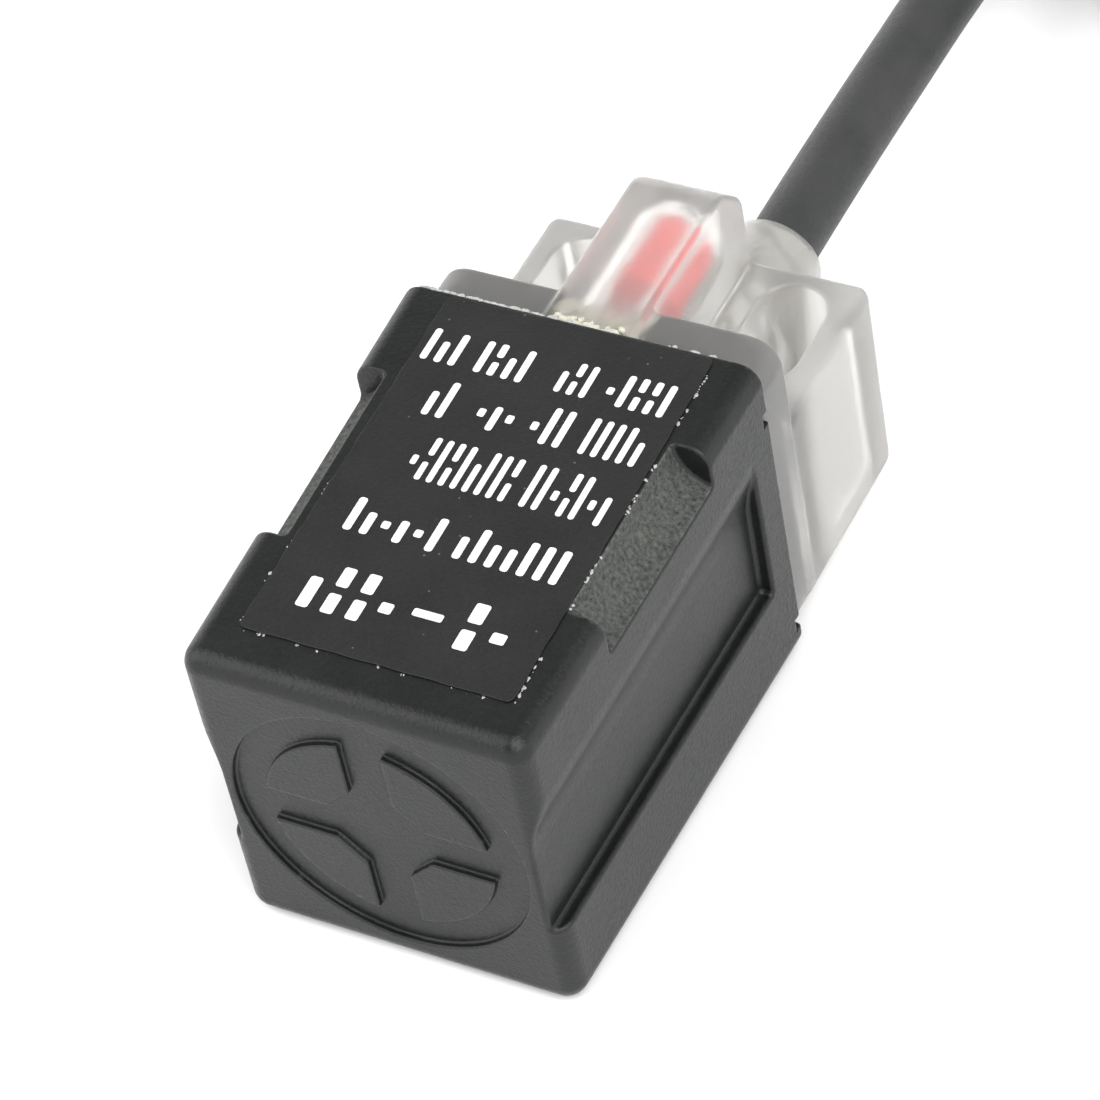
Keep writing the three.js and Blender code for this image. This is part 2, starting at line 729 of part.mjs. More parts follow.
// ---------------------------------------------------------------- assembly
const FINISHES = {
  black_plastic: { color: 0x3f4241, roughness: 0.55, metalness: 0 },
  clear_plastic: { color: 0xe9eae6, roughness: 0.25, metalness: 0 },
  label_film: { color: 0x303432, roughness: 0.45, metalness: 0 },
  cable_jacket: { color: 0x4a4d4b, roughness: 0.6, metalness: 0 },
  tinned: { color: 0xc9ccd0, roughness: 0.3, metalness: 1 },
  tie_film: { color: 0x202224, roughness: 0.5, metalness: 0 },
  ferrite: { color: 0x2c2c2e, roughness: 0.7, metalness: 0 },
  bobbin_plastic: { color: 0xe8e2d0, roughness: 0.5, metalness: 0 },
  enamelled_copper: { color: 0xb4622a, roughness: 0.35, metalness: 1 },
  circuit_board: { color: 0x1e6a3c, roughness: 0.5, metalness: 0 },
  moulded_epoxy: { color: 0x1b1c1f, roughness: 0.5, metalness: 0 },
  ceramic_chip: { color: 0xb58a5c, roughness: 0.5, metalness: 0 },
  aluminium_can: { color: 0xb9bcc0, roughness: 0.35, metalness: 1 },
  red_lens: { color: 0xe0262a, roughness: 0.15, metalness: 0 },
  resin: { color: 0x1a1b1c, roughness: 0.4, metalness: 0 },
  zinc_ring: { color: 0xa9adb2, roughness: 0.4, metalness: 1 },
};

const sensor = new THREE.Group();

function place(name, geometry, finish) {
  const mesh = new THREE.Mesh(geometry, new THREE.MeshStandardMaterial(finish));
  mesh.name = name;
  sensor.add(mesh);
}

place('housing', housing(), FINISHES.black_plastic);
place('rear_base', rearBase(), FINISHES.clear_plastic);
place('label', label(), FINISHES.label_film);
place('potting_plug', pottingPlug(), FINISHES.resin);

place('ferrite_core', ferriteCore(), FINISHES.ferrite);
place('coil_bobbin', bobbin(), FINISHES.bobbin_plastic);
place('coil_winding', winding(), FINISHES.enamelled_copper);
place('coil_lead_left', coilLead(-1), FINISHES.enamelled_copper);
place('coil_lead_right', coilLead(1), FINISHES.enamelled_copper);

place('circuit_board', block(
  -BOARD_HALF_WIDTH,
  BOARD_HALF_WIDTH,
  BOARD_START,
  BOARD_END,
  BOARD_TOP - BOARD_THICKNESS,
  BOARD_TOP,
), FINISHES.circuit_board);
place('oscillator_chip', chip(-2.2, 12.6, 3.8, 4.9, 1.5, 8), FINISHES.moulded_epoxy);
place('output_transistor', chip(-3.4, 17.4, 2.4, 2.9, 1.2, 4), FINISHES.moulded_epoxy);
place('protection_diode', smallPart(3.8, 17.3, 1.6, 3.2, 1.1), FINISHES.moulded_epoxy);
place('supply_capacitor', canCapacitor(3.5, 12.4), FINISHES.aluminium_can);
place('ceramic_capacitor_left', smallPart(-1.4, 8.6, 2.0, 1.25, 0.9), FINISHES.ceramic_chip);
place('ceramic_capacitor_right', smallPart(1.4, 8.6, 2.0, 1.25, 0.9), FINISHES.ceramic_chip);
[-3.2, 0, 3.2].forEach((x, i) => {
  place(`resistor_${i + 1}`, smallPart(x, 11, 1.25, 2.0, 0.5, true), FINISHES.moulded_epoxy);
});

place('led_body', ledBody(), FINISHES.red_lens);
place('led_lead_anode', ledLead(-1), FINISHES.tinned);
place('led_lead_cathode', ledLead(1), FINISHES.tinned);

CONDUCTORS.forEach((conductor) => {
  const finish = { color: conductor.colour, roughness: 0.5, metalness: 0 };
  place(`inner_conductor_${conductor.name}`, innerConductor(conductor), finish);
  place(`stripped_conductor_${conductor.name}`, conductorEnd(conductor), finish);
  place(`tinned_tip_${conductor.name}`, tinnedTip(conductor), FINISHES.tinned);
});

place('cable_inlet', cableInlet(), FINISHES.cable_jacket);
place('cable_retaining_ring', retainingRing(), FINISHES.zinc_ring);
place('cable_lead', wire(LEAD_ROUTE, CABLE_RADIUS, 14), FINISHES.cable_jacket);
place('cable_coil', cableCoil(), FINISHES.cable_jacket);
place('cable_tail', wire(TAIL_ROUTE, CABLE_RADIUS, 8), FINISHES.cable_jacket);
place('coil_tie', coilTie(), FINISHES.tie_film);

sensor.position.y = -BOSS_END / 2;

export default sensor;
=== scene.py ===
import json
import math
import random

import bmesh
import bpy
import numpy as np
from mathutils import Matrix, Vector


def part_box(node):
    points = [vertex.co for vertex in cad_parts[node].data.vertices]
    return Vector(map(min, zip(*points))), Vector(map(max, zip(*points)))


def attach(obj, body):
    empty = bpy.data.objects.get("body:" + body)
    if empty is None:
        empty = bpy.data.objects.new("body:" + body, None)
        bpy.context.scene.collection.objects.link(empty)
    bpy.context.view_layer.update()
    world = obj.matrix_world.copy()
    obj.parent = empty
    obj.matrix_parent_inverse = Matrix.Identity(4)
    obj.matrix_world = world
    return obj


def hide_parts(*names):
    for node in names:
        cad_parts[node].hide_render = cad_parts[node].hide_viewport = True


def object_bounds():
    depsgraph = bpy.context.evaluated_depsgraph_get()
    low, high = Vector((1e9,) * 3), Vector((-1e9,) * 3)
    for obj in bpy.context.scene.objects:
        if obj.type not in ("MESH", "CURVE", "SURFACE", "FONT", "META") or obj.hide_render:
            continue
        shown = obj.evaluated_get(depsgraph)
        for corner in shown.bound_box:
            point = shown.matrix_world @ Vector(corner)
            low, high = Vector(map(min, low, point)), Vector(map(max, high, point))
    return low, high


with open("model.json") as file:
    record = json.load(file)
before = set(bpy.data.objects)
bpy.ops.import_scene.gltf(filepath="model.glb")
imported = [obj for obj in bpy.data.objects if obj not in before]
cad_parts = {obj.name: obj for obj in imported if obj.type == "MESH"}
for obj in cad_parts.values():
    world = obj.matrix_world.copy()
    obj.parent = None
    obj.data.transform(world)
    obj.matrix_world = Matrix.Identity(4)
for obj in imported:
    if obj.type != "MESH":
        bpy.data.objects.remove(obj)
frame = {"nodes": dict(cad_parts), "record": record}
cad_low, cad_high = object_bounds()

# Lengths below are in millimetres, measured from the sensing face along Y and from the underside along Z.
MM = 0.001
FACE_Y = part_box("housing")[0].y


def place(points):
    """Points in millimetres from the sensing face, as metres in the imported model's frame."""
    moved = np.asarray(points, float) * MM
    moved[..., 1] += FACE_Y
    return moved


# ------------------------------------------------------------------ camera
def make_camera():
    """The photograph's view, worked out from straight edges in it with the rear width set to 18 mm."""
    data = bpy.data.cameras.new("camera")
    data.lens = 147.27
    data.sensor_width = 36
    data.clip_start = 0.01
    data.clip_end = 10
    camera = bpy.data.objects.new("camera", data)
    bpy.context.scene.collection.objects.link(camera)
    right = Vector((0.88558011, 0.44074358, -0.14660476))
    up = Vector((-0.23448382, 0.69666612, 0.67799237))
    back = Vector((0.40095536, -0.56604012, 0.72030090))
    turn = Matrix((right, up, back)).transposed().to_4x4()
    camera.matrix_world = Matrix.Translation(place((81.877, -98.554, 156.507))) @ turn
    bpy.context.scene.camera = camera


make_camera()


# ------------------------------------------------------------------ materials
class Nodes:
    """A short way to write a material's node tree."""

    def __init__(self, name):
        self.material = bpy.data.materials.new(name)
        self.material.use_nodes = True
        self.tree = self.material.node_tree
        self.shader = self.tree.nodes["Principled BSDF"]
        self.place = self.add("ShaderNodeTexCoord").outputs["Object"]

    def add(self, kind, inputs=None, **settings):
        node = self.tree.nodes.new(kind)
        for key, value in settings.items():
            setattr(node, key, value)
        for key, value in (inputs or {}).items():
            self.set(node, key, value)
        return node

    def set(self, node, key, value):
        if isinstance(value, bpy.types.NodeSocket):
            self.tree.links.new(value, node.inputs[key])
        else:
            node.inputs[key].default_value = value

    def base(self, **values):
        for key, value in values.items():
            self.set(self.shader, key.replace("_", " "), value)

    def noise(self, scale, detail=3.0, rough=0.55, stretch=None, distortion=0.0):
        where = self.place
        if stretch:
            where = self.add("ShaderNodeMapping", {"Vector": where, "Scale": stretch}).outputs["Vector"]
        found = {"Vector": where, "Scale": scale, "Detail": detail, "Roughness": rough, "Distortion": distortion}
        return self.add("ShaderNodeTexNoise", found).outputs["Fac"]

    def spread(self, value, low, high, to_low, to_high):
        found = {"Value": value, "From Min": low, "From Max": high, "To Min": to_low, "To Max": to_high}
        return self.add("ShaderNodeMapRange", found).outputs["Result"]

    def ramp(self, value, stops):
        node = self.add("ShaderNodeValToRGB", {"Fac": value})
        ramp = node.color_ramp
        while len(ramp.elements) < len(stops):
            ramp.elements.new(0.5)
        for element, (position, colour) in zip(ramp.elements, stops):
            element.position = position
            element.color = (*colour, 1)
        return node.outputs["Color"]

    def bump(self, height, distance, strength):
        found = {"Height": height, "Distance": distance, "Strength": strength}
        return self.add("ShaderNodeBump", found).outputs["Normal"]

    def mix(self, share, one, two):
        node = self.add("ShaderNodeMix", data_type="RGBA")
        self.set(node, 0, share)
        self.set(node, 6, one)
        self.set(node, 7, two)
        return node.outputs[2]


def moulded(name, dark, light, rough, grain, depth, edge_light_and_wear=0.0, specular=0.5, blotch=420):
    """Moulded or cast stock: cloudy colour, fine grain, uneven gloss, and, when the edge share is above 0,
    convex edges made lighter, partly as wear and partly as a painted highlight.
    """
    n = Nodes(name)
    cloud = n.noise(blotch, detail=4)
    speck = n.noise(grain, detail=2, rough=0.6)
    colour = n.ramp(cloud, [(0.3, dark), (0.7, light)])
    if edge_light_and_wear:
        # Convex edges are lightened: partly wear, partly a painted highlight along the edges.
        edge = n.add("ShaderNodeNewGeometry").outputs["Pointiness"]
        scuffs = n.noise(2600, detail=3)
        uneven = {0: edge, 1: n.spread(scuffs, 0.3, 0.7, -0.02, 0.02)}
        raised = n.add("ShaderNodeMath", uneven, operation="ADD").outputs[0]
        lit_and_worn_edges = n.spread(raised, 0.53, 0.62, 0.0, edge_light_and_wear)
        colour = n.mix(lit_and_worn_edges, colour, (*[min(1, 2.6 * c + 0.02) for c in light], 1))
    n.base(Base_Color=colour, Specular_IOR_Level=specular)
    n.base(Roughness=n.spread(speck, 0.3, 0.7, rough[0], rough[1]))
    n.base(Normal=n.bump(speck, depth, 0.6))
    return n.material


def black_plastic():
    return moulded(
        "black_plastic", (0.004, 0.005, 0.0045), (0.008, 0.009, 0.0085), (0.28, 0.42), 5200, 0.00004,
        edge_light_and_wear=0.5, specular=0.38,
    )


def sparked_plastic():
    """The coarser texture inside the two scoops."""
    return moulded(
        "sparked_plastic", (0.012, 0.014, 0.012), (0.080, 0.084, 0.076), (0.5, 0.75), 4200, 0.00014,
        edge_light_and_wear=0.4, specular=0.5, blotch=5200,
    )


def clear_plastic():
    n = Nodes("clear_plastic")
    haze = n.noise(700, detail=4)
    fine = n.noise(4200, detail=2)
    n.base(Base_Color=n.ramp(haze, [(0.3, (0.99, 0.975, 0.945)), (0.7, (1.0, 0.985, 0.965))]))
    n.base(Roughness=n.spread(haze, 0.3, 0.7, 0.28, 0.40), IOR=1.49, Transmission_Weight=0.90)
    n.base(Normal=n.bump(fine, 0.00002, 0.5))
    return n.material


def red_lens():
    n = Nodes("red_lens")
    depth = n.noise(900, detail=3)
    n.base(Base_Color=n.ramp(depth, [(0.3, (0.80, 0.03, 0.035)), (0.7, (0.92, 0.06, 0.065))]))
    n.base(Roughness=n.spread(depth, 0.3, 0.7, 0.3, 0.45), IOR=1.5, Transmission_Weight=0.15)
    # The faint red emission is a painted glow: the LED has no power.
    n.base(Emission_Color=(1.0, 0.05, 0.06, 1), Emission_Strength=0.08)
    n.base(Normal=n.bump(depth, 0.00002, 0.3))
    return n.material


def cured_resin(name, dark, light, transmission):
    n = Nodes(name)
    cloud = n.noise(1500, detail=5, distortion=0.6)
    crease = n.noise(2400, detail=4, distortion=1.5)
    n.base(Base_Color=n.ramp(cloud, [(0.3, dark), (0.7, light)]), IOR=1.5, Transmission_Weight=transmission)
    n.base(Roughness=n.spread(crease, 0.3, 0.7, 0.15, 0.5))
    n.base(Normal=n.bump(crease, 0.00012, 0.8))
    return n.material


def label_film():
    n = Nodes("label_film")
    cloud = n.noise(260, detail=4)
    speck = n.noise(5200, detail=3, rough=0.7)
    lint = n.add("ShaderNodeTexVoronoi", {"Vector": n.place, "Scale": 900.0}, feature="F1").outputs["Distance"]
    colour = n.ramp(cloud, [(0.3, (0.006, 0.007, 0.006)), (0.7, (0.011, 0.012, 0.011))])
    colour = n.mix(n.spread(lint, 0.06, 0.03, 0.0, 0.35), colour, (0.25, 0.25, 0.24, 1))
    n.base(Base_Color=colour, Specular_IOR_Level=0.42)
    n.base(Roughness=n.spread(speck, 0.3, 0.7, 0.34, 0.5))
    n.base(Normal=n.bump(speck, 0.00004, 0.6))
    return n.material


def print_ink():
    return moulded("print_ink", (0.70, 0.71, 0.69), (0.86, 0.87, 0.85), (0.4, 0.6), 6500, 0.00001)


def cable_jacket():
    n = Nodes("cable_jacket")
    cloud = n.noise(300, detail=4)
    grain = n.noise(4500, detail=3, rough=0.65)
    n.base(Base_Color=n.ramp(cloud, [(0.3, (0.024, 0.026, 0.025)), (0.7, (0.038, 0.040, 0.038))]))
    n.base(Roughness=n.spread(grain, 0.3, 0.7, 0.45, 0.65))
    n.base(Specular_IOR_Level=0.38, Sheen_Weight=0.1, Sheen_Roughness=0.5)
    n.base(Normal=n.bump(grain, 0.00004, 0.7))
    return n.material


def copper_coil():
    n = Nodes("enamelled_copper")
    bands = {"Vector": n.place, "Scale": 1500.0, "Distortion": 0.4, "Detail": 2.0}
    turns = n.add("ShaderNodeTexWave", bands, bands_direction="Y")
    colour = n.ramp(turns.outputs["Fac"], [(0.2, (0.30, 0.09, 0.03)), (0.8, (0.62, 0.24, 0.09))])
    n.base(Base_Color=colour, Metallic=0.8)
    n.base(Roughness=n.spread(turns.outputs["Fac"], 0, 1, 0.5, 0.28), Coat_Weight=0.4)
    n.base(Normal=n.bump(turns.outputs["Fac"], 0.00008, 0.8))
    return n.material


def board():
    n = Nodes("circuit_board")
    tracks = n.add("ShaderNodeTexBrick", {"Vector": n.place, "Scale": 260.0, "Mortar Size": 0.03}, offset=0.4)
    weave = n.noise(2600, detail=2)
    n.set(tracks, "Color1", (0.020, 0.13, 0.055, 1))
    n.set(tracks, "Color2", (0.028, 0.17, 0.07, 1))
    n.set(tracks, "Mortar", (0.05, 0.26, 0.11, 1))
    n.base(Base_Color=tracks.outputs["Color"], Coat_Weight=0.5)
    n.base(Roughness=n.spread(weave, 0.3, 0.7, 0.3, 0.5), Normal=n.bump(weave, 0.00002, 0.5))
    return n.material


def drawn_metal(name, dark, light):
    n = Nodes(name)
    lines = n.noise(900, detail=4, stretch=(1, 1, 14))
    n.base(Base_Color=n.ramp(lines, [(0.3, dark), (0.7, light)]), Metallic=1.0)
    n.base(Roughness=n.spread(lines, 0.3, 0.7, 0.22, 0.45), Normal=n.bump(lines, 0.00003, 0.5))
    return n.material


FINISH = {
    "black_plastic": black_plastic(),
    "sparked_plastic": sparked_plastic(),
    "clear_plastic": clear_plastic(),
    "label_film": label_film(),
    "print_ink": print_ink(),
    "red_lens": red_lens(),
    "resin": cured_resin("resin", (0.012, 0.012, 0.012), (0.030, 0.030, 0.029), 0.0),
    "yellow_resin": cured_resin("yellow_resin", (0.72, 0.68, 0.52), (0.93, 0.91, 0.82), 0.3),
    "glue": cured_resin("glue", (0.50, 0.51, 0.48), (0.72, 0.73, 0.70), 0.35),
    "ferrite": moulded("ferrite", (0.035, 0.035, 0.038), (0.060, 0.060, 0.064), (0.55, 0.85), 3800, 0.00005),
    "bobbin_plastic": moulded(
        "bobbin_plastic", (0.66, 0.62, 0.50), (0.78, 0.74, 0.63), (0.35, 0.5), 3000, 0.00002,
    ),
    "enamelled_copper": copper_coil(),
    "circuit_board": board(),
    "moulded_epoxy": moulded(
        "moulded_epoxy", (0.014, 0.014, 0.016), (0.030, 0.030, 0.033), (0.45, 0.7), 4800, 0.00003, edge_light_and_wear=0.4,
    ),
    "ceramic_chip": moulded(
        "ceramic_chip", (0.36, 0.23, 0.12), (0.48, 0.32, 0.18), (0.4, 0.6), 3600, 0.00002, edge_light_and_wear=0.3,
    ),
    "aluminium_can": drawn_metal("aluminium_can", (0.55, 0.56, 0.58), (0.76, 0.77, 0.79)),
    "tinned": drawn_metal("tinned", (0.55, 0.55, 0.56), (0.80, 0.80, 0.80)),
    "zinc_ring": drawn_metal("zinc_ring", (0.40, 0.41, 0.44), (0.60, 0.61, 0.63)),
    "cable_jacket": cable_jacket(),
    "brown_insulation": moulded(
        "brown_insulation", (0.13, 0.045, 0.02), (0.19, 0.07, 0.03), (0.35, 0.5), 3200, 0.00002,
    ),
    "black_insulation": moulded(
        "black_insulation", (0.012, 0.012, 0.013), (0.024, 0.024, 0.026), (0.35, 0.5), 3200, 0.00002,
    ),
    "blue_insulation": moulded(
        "blue_insulation", (0.02, 0.06, 0.30), (0.035, 0.10, 0.42), (0.35, 0.5), 3200, 0.00002,
    ),
    "tie_film": moulded(
        "tie_film", (0.018, 0.018, 0.019), (0.035, 0.035, 0.036), (0.4, 0.6), 2600, 0.00003, edge_light_and_wear=0.4,
    ),
}

# Every CAD node takes the finish of the record's slot; the pieces below replace the ones that show.
for part in frame["record"]["subparts"]:
    node = frame["nodes"][part["node"]]
    node.data.materials.clear()
    node.data.materials.append(FINISH[part["material_slot"]])


# ------------------------------------------------------------------ cable
CABLE_RADIUS = 1.8
CABLE_Z = 6.0
LEAD_ROUTE = [
    (0, 41.5, 6), (0, 46, 6), (0.05, 51, 6), (0.15, 56, 6), (0.25, 60.5, 6), (0.2, 63.7, 5.7),
    (-0.35, 67, 4.9), (-1.45, 70.1, 3.8),
]
COIL_X, COIL_Y = 14.0, 90.8
OUTER, MIDDLE, INNER = 21.6, 18.0, 14.4
LAYER = [2.45, 6.05, 9.65]
# The turns fill a three by three bundle, each beside the last: (radius, layer).
SLOTS = [
    (OUTER, 0), (MIDDLE, 0), (INNER, 0), (INNER, 1), (INNER, 2),
    (MIDDLE, 2), (MIDDLE, 1), (OUTER, 1), (OUTER, 2),
]
ENTRY = 200
TURNS = 8.5278
STEPS_PER_TURN = 24
STEP_SHARE = 0.12
STEP_EARLIER = 0.05


def coil_point(degrees, radius, z):
    angle = math.radians(degrees)
    return (COIL_X + radius * math.cos(angle), COIL_Y + radius * math.sin(angle), z)


def ease(t):
    t = min(1.0, max(0.0, t))
    return t * t * (3 - 2 * t)


def coil_route():
    """Clockwise from the entry through the slots, each step to the next slot a little earlier in its turn."""
    points = []
    for i in range(int(TURNS * STEPS_PER_TURN) + 1):
        turn = i / STEPS_PER_TURN
        radius, z = SLOTS[0][0], LAYER[SLOTS[0][1]]
        for k in range(1, len(SLOTS)):
            done = ease((turn - (k - STEP_SHARE - STEP_EARLIER * k)) / STEP_SHARE)
            radius += done * (SLOTS[k][0] - SLOTS[k - 1][0])
            z += done * (LAYER[SLOTS[k][1]] - LAYER[SLOTS[k - 1][1]])
        points.append(coil_point(ENTRY - 360 * turn, radius, z))
    return points


TAIL_X = COIL_X + OUTER
TAIL_ROUTE = [
    (TAIL_X, COIL_Y - 4, 9.5), (TAIL_X, COIL_Y - 9, 8.95), (TAIL_X, COIL_Y - 14, 7.7),
    (TAIL_X - 0.1, COIL_Y - 18, 5.9), (TAIL_X - 0.5, COIL_Y - 22, 4.1),
    (TAIL_X - 1.2, COIL_Y - 26, 2.7), (TAIL_X - 2.2, COIL_Y - 30, 1.98),
    (TAIL_X - 3.2, COIL_Y - 34, 1.85), (TAIL_X - 4.1, COIL_Y - 38, 1.85),
]


def curve_piece(name, points, radius, finish):
    data = bpy.data.curves.new(name, "CURVE")
    data.dimensions = "3D"
    data.bevel_depth = radius * MM
    data.bevel_resolution = 8
    data.resolution_u = 8
    data.use_fill_caps = True
    spline = data.splines.new("BEZIER")
    spline.bezier_points.add(len(points) - 1)
    for point, where in zip(spline.bezier_points, place(points)):
        point.co = where
        point.handle_left_type = point.handle_right_type = "AUTO"
    data.materials.append(finish)
    piece = bpy.data.objects.new(name, data)
    bpy.context.scene.collection.objects.link(piece)
    return piece


INLET_START = 32.2
cable = curve_piece(
    "cable",
    [(0, INLET_START, CABLE_Z), (0, 35, CABLE_Z), (0, 38.5, CABLE_Z)]
    + LEAD_ROUTE
    + [(-2.9, 74.1, 2.85), (-4.35, 78.1, 2.5)]
    + coil_route()
    + TAIL_ROUTE,
    CABLE_RADIUS,
    FINISH["cable_jacket"],
)
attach(cable, "root")
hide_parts("cable_inlet", "cable_lead", "cable_coil", "cable_tail")

END = TAIL_ROUTE[-1]
CONDUCTORS = {"brown": (-0.68, -0.4, -1), "black": (0, 0.79, 0), "blue": (0.68, -0.4, 1)}
FLOOR_Z = 0.65
INSULATION_RADIUS = 0.6
STRAND_RADIUS = 0.13


def stripped_route(dx, dz, spread):
    x, y, z = END
    return [
        (x - dx, y + 1.5, z + dz), (x - dx, y - 0.3, z + dz), (x - 1.3 * dx, y - 3, z + 0.9 * dz),
        (x - 1.9 * spread, y - 7, (z + FLOOR_Z) / 2), (x - 2.7 * spread - 0.1, y - 11, FLOOR_Z),
        (x - 3.6 * spread - 0.3, y - 15.5, FLOOR_Z), (x - 4.6 * spread - 0.5, y - 20, FLOOR_Z),
    ]


# ------------------------------------------------------------------ meshes
def mesh_piece(name, points, faces, finish, normals=None, smooth=True):
    """One object from points in millimetres, shaded by the normals given or by its own."""
    data = bpy.data.meshes.new(name)
    data.from_pydata(place(points).tolist(), [], [list(map(int, f)) for f in faces])
    data.materials.append(finish)
    data.polygons.foreach_set("use_smooth", [smooth] * len(data.polygons))
    data.update()
    if normals is not None:
        data.normals_split_custom_set_from_vertices(normals.tolist())
    piece = bpy.data.objects.new(name, data)
    bpy.context.scene.collection.objects.link(piece)
    return piece


def settle(piece, slot, *nodes):
    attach(piece, "root")
    if nodes:
        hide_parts(*nodes)
    return piece


def tube(points, radius, sides=12, cap=0.25):
    """Points and faces of a round wire along the points, its ends rounded over by cap of its radius."""
    path = np.asarray(points, float)
    ahead = np.gradient(path, axis=0)
    ahead /= np.linalg.norm(ahead, axis=1)[:, None]
    aside = np.cross(ahead[0], (0.13, 0.21, 0.97))
    rings = []
    last = len(path) - 1
    for i, (centre, heading) in enumerate(zip(path, ahead)):
        aside = aside - heading * (aside @ heading)
        aside /= np.linalg.norm(aside)
        other = np.cross(heading, aside)
        angles = np.arange(sides) * 2 * math.pi / sides
        circle = np.cos(angles)[:, None] * aside + np.sin(angles)[:, None] * other
        if i in (0, last):
            out = heading * cap * radius * (-1 if i == 0 else 1)
            ends = [centre + (1 - cap) * radius * circle + out, centre + radius * circle]
            rings.extend(ends if i == 0 else ends[::-1])
        else:
            rings.append(centre + radius * circle)
    count = len(rings)
    faces = [
        (r * sides + k, r * sides + (k + 1) % sides, (r + 1) * sides + (k + 1) % sides, (r + 1) * sides + k)
        for r in range(count - 1)
        for k in range(sides)
    ]
    faces.append(tuple(reversed(range(sides))))
    faces.append(tuple((count - 1) * sides + k for k in range(sides)))
    return np.concatenate(rings), faces


def rounded_corners(left, right, low, high, corner, steps):
    """The four arcs of a rounded rectangle, as (centre u, centre v, cosine, sine) for each of their points."""
    found = []
    for u, v, start in ((right - corner, high - corner, 0), (left + corner, high - corner, 90),
                        (left + corner, low + corner, 180), (right - corner, low + corner, 270)):
        for a in np.linspace(start, start + 90, steps):
            found.append((u, v, math.cos(math.radians(a)), math.sin(math.radians(a))))
    return found


def joined(parts):
    """Several (points, faces) as one."""
    points, faces, start = [], [], 0
    for more, shape in parts:
        points.append(np.asarray(more, float))
        faces.extend(tuple(i + start for i in face) for face in shape)
        start += len(more)
    return np.concatenate(points), faces


def smooth_path(points, count):
    """A Catmull-Rom line through the points, with count steps between each two."""
    p = np.asarray(points, float)
    p = np.vstack([2 * p[0] - p[1], p, 2 * p[-1] - p[-2]])
    found = []
    for i in range(1, len(p) - 2):
        for t in np.arange(count) / count:
            a, b, c, d = p[i - 1 : i + 3]
            square, cube = 2 * a - 5 * b + 4 * c - d, 3 * b - a - 3 * c + d
            found.append(0.5 * (2 * b + (c - a) * t + square * t * t + cube * t**3))
    found.append(p[-2])
    return np.array(found)


for colour, (dx, dz, spread) in CONDUCTORS.items():
    route = stripped_route(dx, dz, spread)
    skin = f"{colour}_insulation"
    wire = mesh_piece(f"conductor_{colour}", *tube(smooth_path(route, 8), INSULATION_RADIUS, 16), FINISH[skin])
    settle(wire, skin, f"stripped_conductor_{colour}")
    end, before = np.array(route[-1]), np.array(route[-2])
    heading = (end - before) / np.linalg.norm(end - before)
    side = np.cross(heading, (0, 0, 1))
    strands = []
    for k in range(7):
        reach = 0 if k == 0 else 0.25
        length = 5.1 - 0.12 * (k % 3)
        line = []
        for t in np.linspace(0, 1, 14):
            angle = k * math.pi / 3 + 5.5 * t
            off = reach * (side * math.cos(angle) + np.array((0, 0, 1)) * math.sin(angle))
            line.append(end + heading * (length * t - 0.3) + off - np.array((0, 0, 0.22 * t)))
        strands.append(tube(line, STRAND_RADIUS, 8))
    tip = mesh_piece(f"strands_{colour}", *joined(strands), FINISH["tinned"])
    settle(tip, "tinned", f"tinned_tip_{colour}")


def twist_tie():
    """A flat tie round the coil, with a wire rib along its middle."""
    gap = 0.3
    inner, outer, low, high, corner = 12.55 - gap, 23.45 + gap, gap, 11.8, 1.0
    outline = rounded_corners(inner, outer, low, high, corner, 7)
    across = [
        (-1.5, 0.0), (-1.5, 0.18), (-1.35, 0.25), (-0.45, 0.17), (-0.3, 0.25),
        (0.3, 0.25), (0.45, 0.17), (1.35, 0.25), (1.5, 0.18), (1.5, 0.0),
    ]
    points, faces = [], []
    turn = math.radians(-70)
    for cx, cz, nx, nz in outline:
        for along, out in across:
            r, z = cx + nx * (corner + out), cz + nz * (corner + out)
            x = COIL_X + r * math.cos(turn) - along * math.sin(turn)
            y = COIL_Y + r * math.sin(turn) + along * math.cos(turn)
            points.append((x, y, z))
    n, m = len(outline), len(across)
    for i in range(n):
        here, there = i * m, ((i + 1) % n) * m
        for j in range(m):
            faces.append((here + j, here + (j + 1) % m, there + (j + 1) % m, there + j))
    knot = np.array(coil_point(-70, 23.9, 6.5))
    ahead = np.array((math.cos(turn), math.sin(turn), 0))
    beside = np.array((-math.sin(turn), math.cos(turn), 0))
    ends = []
    for phase in (0, math.pi):
        line = []
        for t in np.linspace(0, 1, 26):
            angle = phase + 9 * t
            rise = 0.45 * (1 if t < 0.8 else 1 + 3 * (t - 0.8))
            off = ahead * (0.6 + math.cos(angle)) + np.array((0, 0, 1)) * math.sin(angle)
            line.append(knot + beside * (7.5 * t) + rise * off)
        ends.append(tube(line, 0.4, 10))
    return joined([(np.array(points), faces), *ends])


tie = mesh_piece("twist_tie", *twist_tie(), FINISH["tie_film"])
settle(tie, "tie_film", "coil_tie")


# ------------------------------------------------------------------ solids from distance fields
def round_join(a, b, r):
    """The union of two solids, with a hollow fillet of radius r where they meet."""
    u, v = np.maximum(r - a, 0), np.maximum(r - b, 0)
    return np.maximum(r, np.minimum(a, b)) - np.sqrt(u * u + v * v)


def round_meet(a, b, r):
    """What two solids share, with the edge rounded to r."""
    return -round_join(-a, -b, r)


def round_cut(a, b, r):
    return round_meet(a, -b, r)


def rect(u, v, cu, cv, hu, hv, r):
    qu, qv = np.abs(u - cu) - hu + r, np.abs(v - cv) - hv + r
    outside = np.sqrt(np.maximum(qu, 0) ** 2 + np.maximum(qv, 0) ** 2)
    return np.minimum(np.maximum(qu, qv), 0) + outside - r


def lines(*spans):
    """Grid lines from spans of (start, end, step)."""
    found = []
    for start, end, step in spans:
        count = max(1, round((end - start) / step))
        found.extend(np.linspace(start, end, count, endpoint=False))
    found.append(spans[-1][1])
    return np.array(found)


